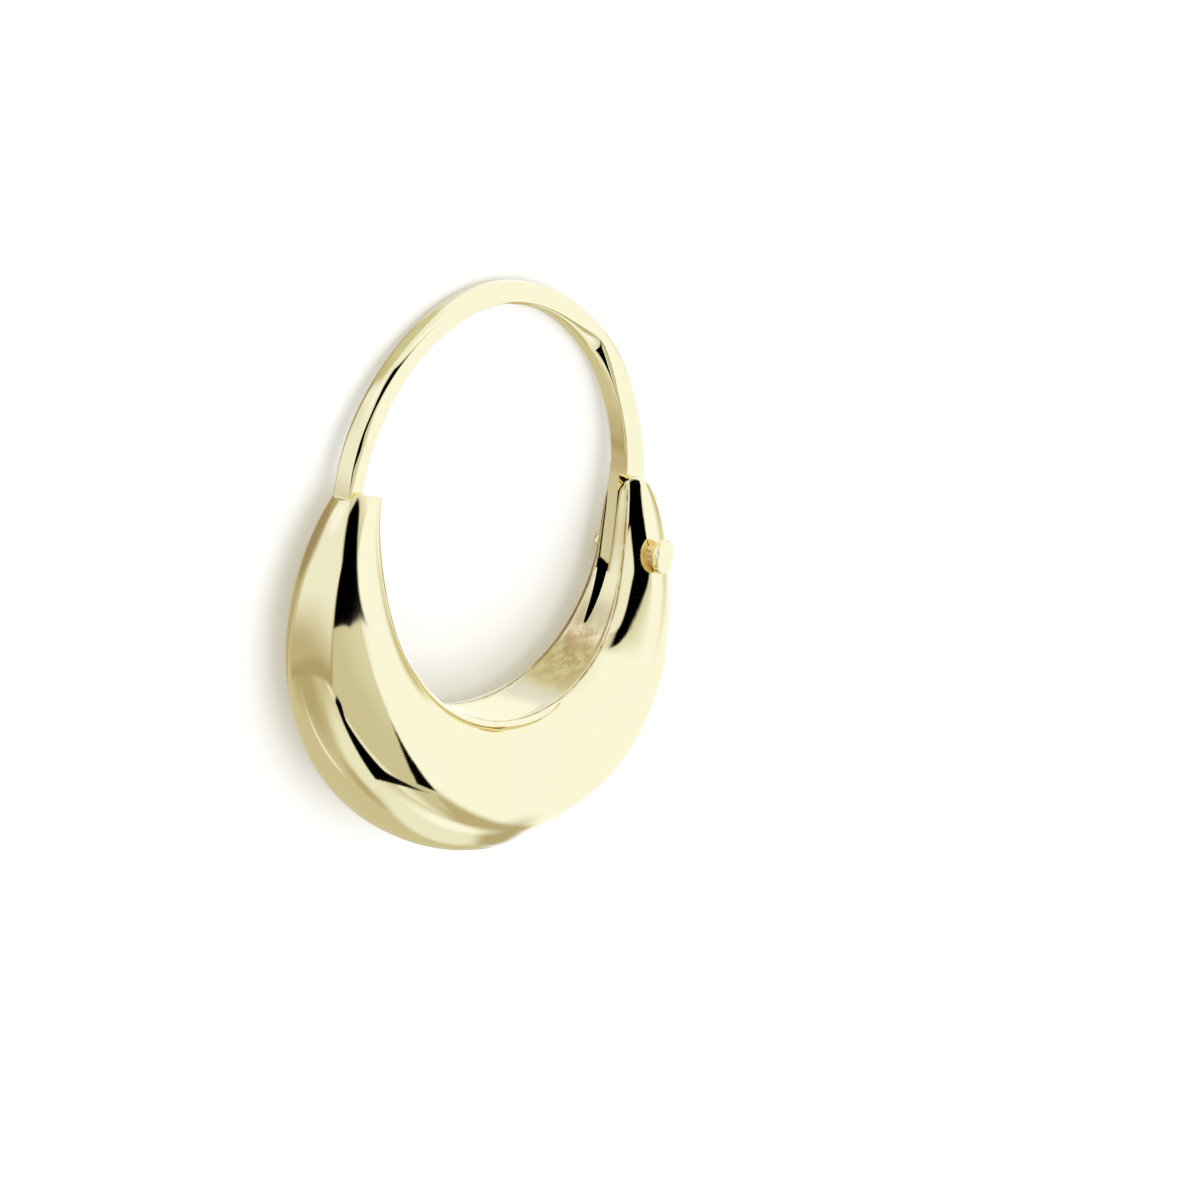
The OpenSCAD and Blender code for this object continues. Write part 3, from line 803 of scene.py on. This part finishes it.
def pale_floor():
    """A pale matt finish with a faint grain."""
    mat = bpy.data.materials.new("pale_floor")
    tree = Tree(mat)
    grain = tree.node("TexNoise", {"Scale": FLOOR_GRAIN}).outputs["Fac"]
    inputs = {"Base Color": tree.ramp(grain, "To", *FLOOR_SHADES), "Roughness": FLOOR_ROUGH}
    tree.node("OutputMaterial", {0: tree.node("BsdfPrincipled", inputs).outputs[0]})
    return mat


def floor():
    """The floor that the hoop lies on, which the gold doesn't mirror."""
    mesh = bpy.data.meshes.new("floor")
    corners = [(x * FLOOR_HALF, y * FLOOR_HALF, FLOOR_Z) for x, y in ((-1, -1), (1, -1), (1, 1), (-1, 1))]
    mesh.from_pydata(corners, [], [(0, 1, 2, 3)])
    ob = bpy.data.objects.new("floor", mesh)
    bpy.context.scene.collection.objects.link(ob)
    mesh.materials.append(pale_floor())
    ob.visible_glossy = False


def overhead():
    """A soft lamp above, which the gold doesn't mirror."""
    soft = bpy.data.lights.new("overhead", "AREA")
    soft.shape, soft.size, soft.energy = "DISK", LAMP_SIZE, LAMP
    ob = bpy.data.objects.new("overhead", soft)
    ob.location = (0, 0, LAMP_UP)
    ob.visible_glossy = False
    bpy.context.scene.collection.objects.link(ob)


# The studio is laid out in degrees across and up from this line of sight, across towards straight up
AHEAD, ACROSS = Vector((-0.641, 0.332, 0.692)).normalized(), Vector((0, 0, 1))
BLACK = (0, 0, 0)
BRIGHT, CREAM, OLIVE = (252, 248, 216), (239, 234, 200), (204, 193, 145)
BASE = (203, 191, 141)
# colour that the gold shows there, then the shapes that bound it: a line with the card on its left, an oval,
# or "clear", the outside of an oval; the last number is how soft the edge is
STUDIO = [
    # low on the left and below: an olive floor with a pale streak
    ((243, 240, 212), [("oval", (-20, -54), (60, 52), 0.04), ("clear", (-19, -50), (60, 52), 0.05),
                       ("line", (0, -200), (-8, -40), 10)]),
    ((180, 164, 110), [("oval", (-52, -74), (42, 20), 0.6)]),
    ((234, 229, 191), [("oval", (30, -60), (26, 20), 0.5)]),
    ((184, 169, 116), [("oval", (24, -87), (17, 8), 0.6)]),
    ((235, 231, 194), [("oval", (72, -76), (27, 34), 0.25)]),
    # the bright side on the right, and a dull panel that runs off to the lower right
    (BRIGHT, [("line", (62, 60), (60, 10), 3), ("line", (72, -14), (122, -56), 6)]),
    ((255, 255, 248), [("oval", (150, -105), (48, 70), 0.12)]),
    ((186, 171, 120), [("line", (110, -46), (76, -16), 3), ("line", (72, -32), (100, -62), 4),
                       ("oval", (94, -36), (26, 26), 0.2)]),
    ((182, 167, 116), [("oval", (105, -72), (10, 36), 0.5)]),
    ((253, 250, 222), [("oval", (82, -54), (15, 8), 0.7)]),
    # the olive panel between the black cards
    (OLIVE, [("line", (75, -18), (60.5, 16), 1.0), ("line", (18, -34), (72, -34), 5),
             ("line", (61, 30), (10, 30), 2)]),
    ((219, 212, 168), [("line", (75, -18), (60.5, 16), 1.5), ("line", (28, 6), (75, 6), 14),
                       ("line", (61, 30), (10, 30), 2)]),
    ((236, 230, 192), [("line", (30, -40), (62, -40), 1), ("line", (62, -31), (28, -34.5), 1.5),
                       ("line", (66, -30), (40, -10), 6)]),
    # the black wedge
    (BLACK, [("line", (62, 23.4), (-30, 31), 0.9), ("line", (26, -6), (50, 10.7), 0.25),
             ("line", (50, 10.7), (60.5, 20.5), 0.25), ("line", (-8, 60), (-8, -60), 7)]),
    # the cream panel on the left, dull towards its lower edge
    ((176, 157, 106), [("line", (31, 11), (-60, 32), 2.2), ("line", (26, -6), (31, 10), 1.6),
                       ("line", (20.5, -25), (26, -6), 1.2), ("line", (-45, -66), (17, -33), 1.5),
                       ("line", (-97, 40), (-93, -60), 3)]),
    ((190, 174, 124), [("line", (31, 10.5), (-60, 31), 2.2), ("line", (24.5, -6), (30, 10), 1.8),
                       ("line", (18.5, -25), (24.5, -6), 1.5), ("line", (-60, -66), (12, -27), 4),
                       ("line", (-97, 40), (-93, -60), 3)]),
    (CREAM, [("line", (30.5, 10.5), (-60, 31), 2.2), ("line", (24, -6), (30, 10), 1.8),
             ("line", (17, -25), (24, -6), 2.5), ("line", (-80, -48), (16, -16), 16),
             ("line", (-97, 40), (-93, -60), 3)]),
    ((250, 246, 220), [("oval", (-62, 14), (28, 9), 0.6)]),
    # the white side above, over the near face
    (BRIGHT, [("line", (-60, 32), (62, 28), 3)]),
    ((240, 236, 202), [("oval", (-60, 50), (50, 22), 0.7)]),
    ((206, 191, 133), [("oval", (96, 84), (9, 34), 0.6)]),
    ((255, 255, 250), [("oval", (146, 96), (44, 50), 0.1)]),
    # the dull wall on the far left
    ((184, 167, 114), [("line", (-93, 24), (-78, 110), 2), ("line", (-60, 72), (-160, 62), 10)]),
    ((226, 222, 198), [("line", (-93, 24), (-78, 110), 2), ("line", (-160, 66), (-60, 78), 10)]),
    ((160, 140, 94), [("oval", (-125, -8), (32, 30), 0.3)]),
    ((205, 197, 143), [("oval", (-92, 54), (11, 28), 0.5)]),
    # the black hook below
    (BLACK, [("line", (65.3, 3.5), (70, -21.5), 0.5), ("line", (70, -21), (75.8, -16.5), 0.5),
             ("line", (75.8, -16.5), (65.6, 3.5), 0.6)]),
    (BLACK, [("line", (18, -37.5), (45, -56.5), 2), ("line", (45, -56.5), (72, -24), 0.5),
             ("line", (60, -36.3), (20, -36.8), 0.8)]),
    (BLACK, [("line", (45, -56.5), (72, -24.3), 0.5), ("line", (72.5, -23.2), (54, -37), 0.7),
             ("line", (52, -30), (52, -60), 3)]),
    (BLACK, [("line", (18.5, -38.5), (31, -38.5), 0.8), ("line", (30.5, -38), (27.5, -30.5), 0.9),
             ("line", (28, -30.8), (21, -32.5), 0.9), ("line", (22, -32), (18, -39), 0.9)]),
]


def seen(rgb):
    """The light that makes the gold look this colour, of 255."""
    lin = [(c / 255 / 12.92) if c < 10.3 else ((c / 255 + 0.055) / 1.055)**2.4 for c in rgb]
    return (*(c / f for c, f in zip(lin, GOLD)), 1)


def mask(tree, spot, kind, p, q, soft):
    """1 inside a shape of the studio and 0 outside it."""
    if kind == "line":
        n = Vector((p[1] - q[1], q[0] - p[0])).normalized()
        c = n.dot(Vector(p))
        side = tree.vector("DOT_PRODUCT", spot, (n.x, n.y, 0.0), "Value")
        return tree.ramp(side, "From", c - soft, c + soft, "SMOOTHSTEP")
    away = tree.vector("MULTIPLY", tree.vector("SUBTRACT", spot, (*p, 0.0)), (1 / q[0], 1 / q[1], 0.0))
    far = tree.vector("LENGTH", away, (0.0, 0.0, 0.0), "Value")
    outside = tree.ramp(far, "From", 1 - soft, 1 + soft, "SMOOTHSTEP")
    return outside if kind == "clear" else tree.calc("SUBTRACT", 1.0, outside)


def studio():
    """The world: coloured cards that only the gold's reflections see, and plain white for the rest."""
    world = bpy.data.worlds.new("studio")
    tree = Tree(world)
    way = tree.node("TexCoord", {}).outputs["Generated"]
    across = (ACROSS - ACROSS.dot(AHEAD) * AHEAD).normalized()
    off = tree.calc("ARCCOSINE", tree.vector("DOT_PRODUCT", way, tuple(AHEAD), "Value"))
    flat = tree.node("CombineXYZ", {k: tree.vector("DOT_PRODUCT", way, tuple(v), "Value")
                                    for k, v in enumerate((across, AHEAD.cross(across)))})
    degrees = tree.calc("MULTIPLY", tree.calc("DIVIDE", off, tree.calc("SINE", off)), math.degrees(1))
    spot = tree.vector("SCALE", flat.outputs[0], degrees)
    light = seen(BASE)
    for colour, shapes in STUDIO:
        cover = mask(tree, spot, *shapes[0])
        for shape in shapes[1:]:
            cover = tree.calc("MULTIPLY", cover, mask(tree, spot, *shape))
        light = tree.mix(cover, light, seen(colour))
    cards = tree.node("Background", {0: light}).outputs[0]
    plain = tree.node("Background", {0: (1, 1, 1, 1), 1: ROOM}).outputs[0]
    glossy = tree.node("LightPath", {}).outputs["Is Glossy Ray"]
    tree.node("OutputWorld", {0: tree.node("MixShader", {0: glossy, 1: plain, 2: cards}).outputs[0]})
    world.cycles.sampling_method = "NONE"
    return world


# The camera, in the hoop's own frame: degrees round, up and rolled, pixels in a millimetre at the hoop, the
# pixel of the hoop's centre in the frame, distance, pixels across the frame, width of the sensor, and the
# least and most distance that it sees
ROUND, UP, ROLL, PIXELS, CENTRE, DISTANCE = -41.409, 14.166, 3.483, 26.744, (488.046, 572.479), 168.381
FRAME, SENSOR, CLIP = 1200, 36, (0.01, 10)


def camera():
    """The camera at the photograph's angle, aimed so that the hoop falls on its place with no shift."""
    az, el, ro = map(math.radians, (ROUND, UP, ROLL))
    back = np.array([math.sin(az) * math.cos(el), math.sin(el), math.cos(az) * math.cos(el)])
    level = np.array([math.cos(az), 0, -math.sin(az)])
    up = np.cross(back, level)
    right, top = level * math.cos(ro) + up * math.sin(ro), -level * math.sin(ro) + up * math.cos(ro)
    focal = PIXELS * DISTANCE
    turn = Matrix((turned(right), turned(top), turned(back))).transposed()
    aim = Vector(((FRAME / 2 - CENTRE[0]) / focal, -(FRAME / 2 - CENTRE[1]) / focal, -1)).normalized()
    fix = Vector((0, 0, -1)).rotation_difference(aim).to_matrix()
    cam = bpy.data.cameras.new("camera")
    cam.sensor_width = SENSOR
    cam.lens = focal / FRAME * SENSOR
    cam.clip_start, cam.clip_end = CLIP
    ob = bpy.data.objects.new("camera", cam)
    bpy.context.scene.collection.objects.link(ob)
    ob.matrix_world = Matrix.Translation(Vector(lie(back * DISTANCE))) @ (turn @ fix).to_4x4()
    bpy.context.scene.camera = ob


body, wire, rivet = crescent(), ear_wire(), hinge_rivet()
bright = gold("polished_gold", GOLD, *POLISHED)
duller = gold("rivet_gold", GOLD, *DULLER)
body.data.materials.append(bright)
wire.data.materials.append(bright)
rivet.data.materials.append(duller)
bpy.context.scene.view_settings.view_transform = "Standard"
floor()
bpy.context.scene.world = studio()
overhead()
camera()
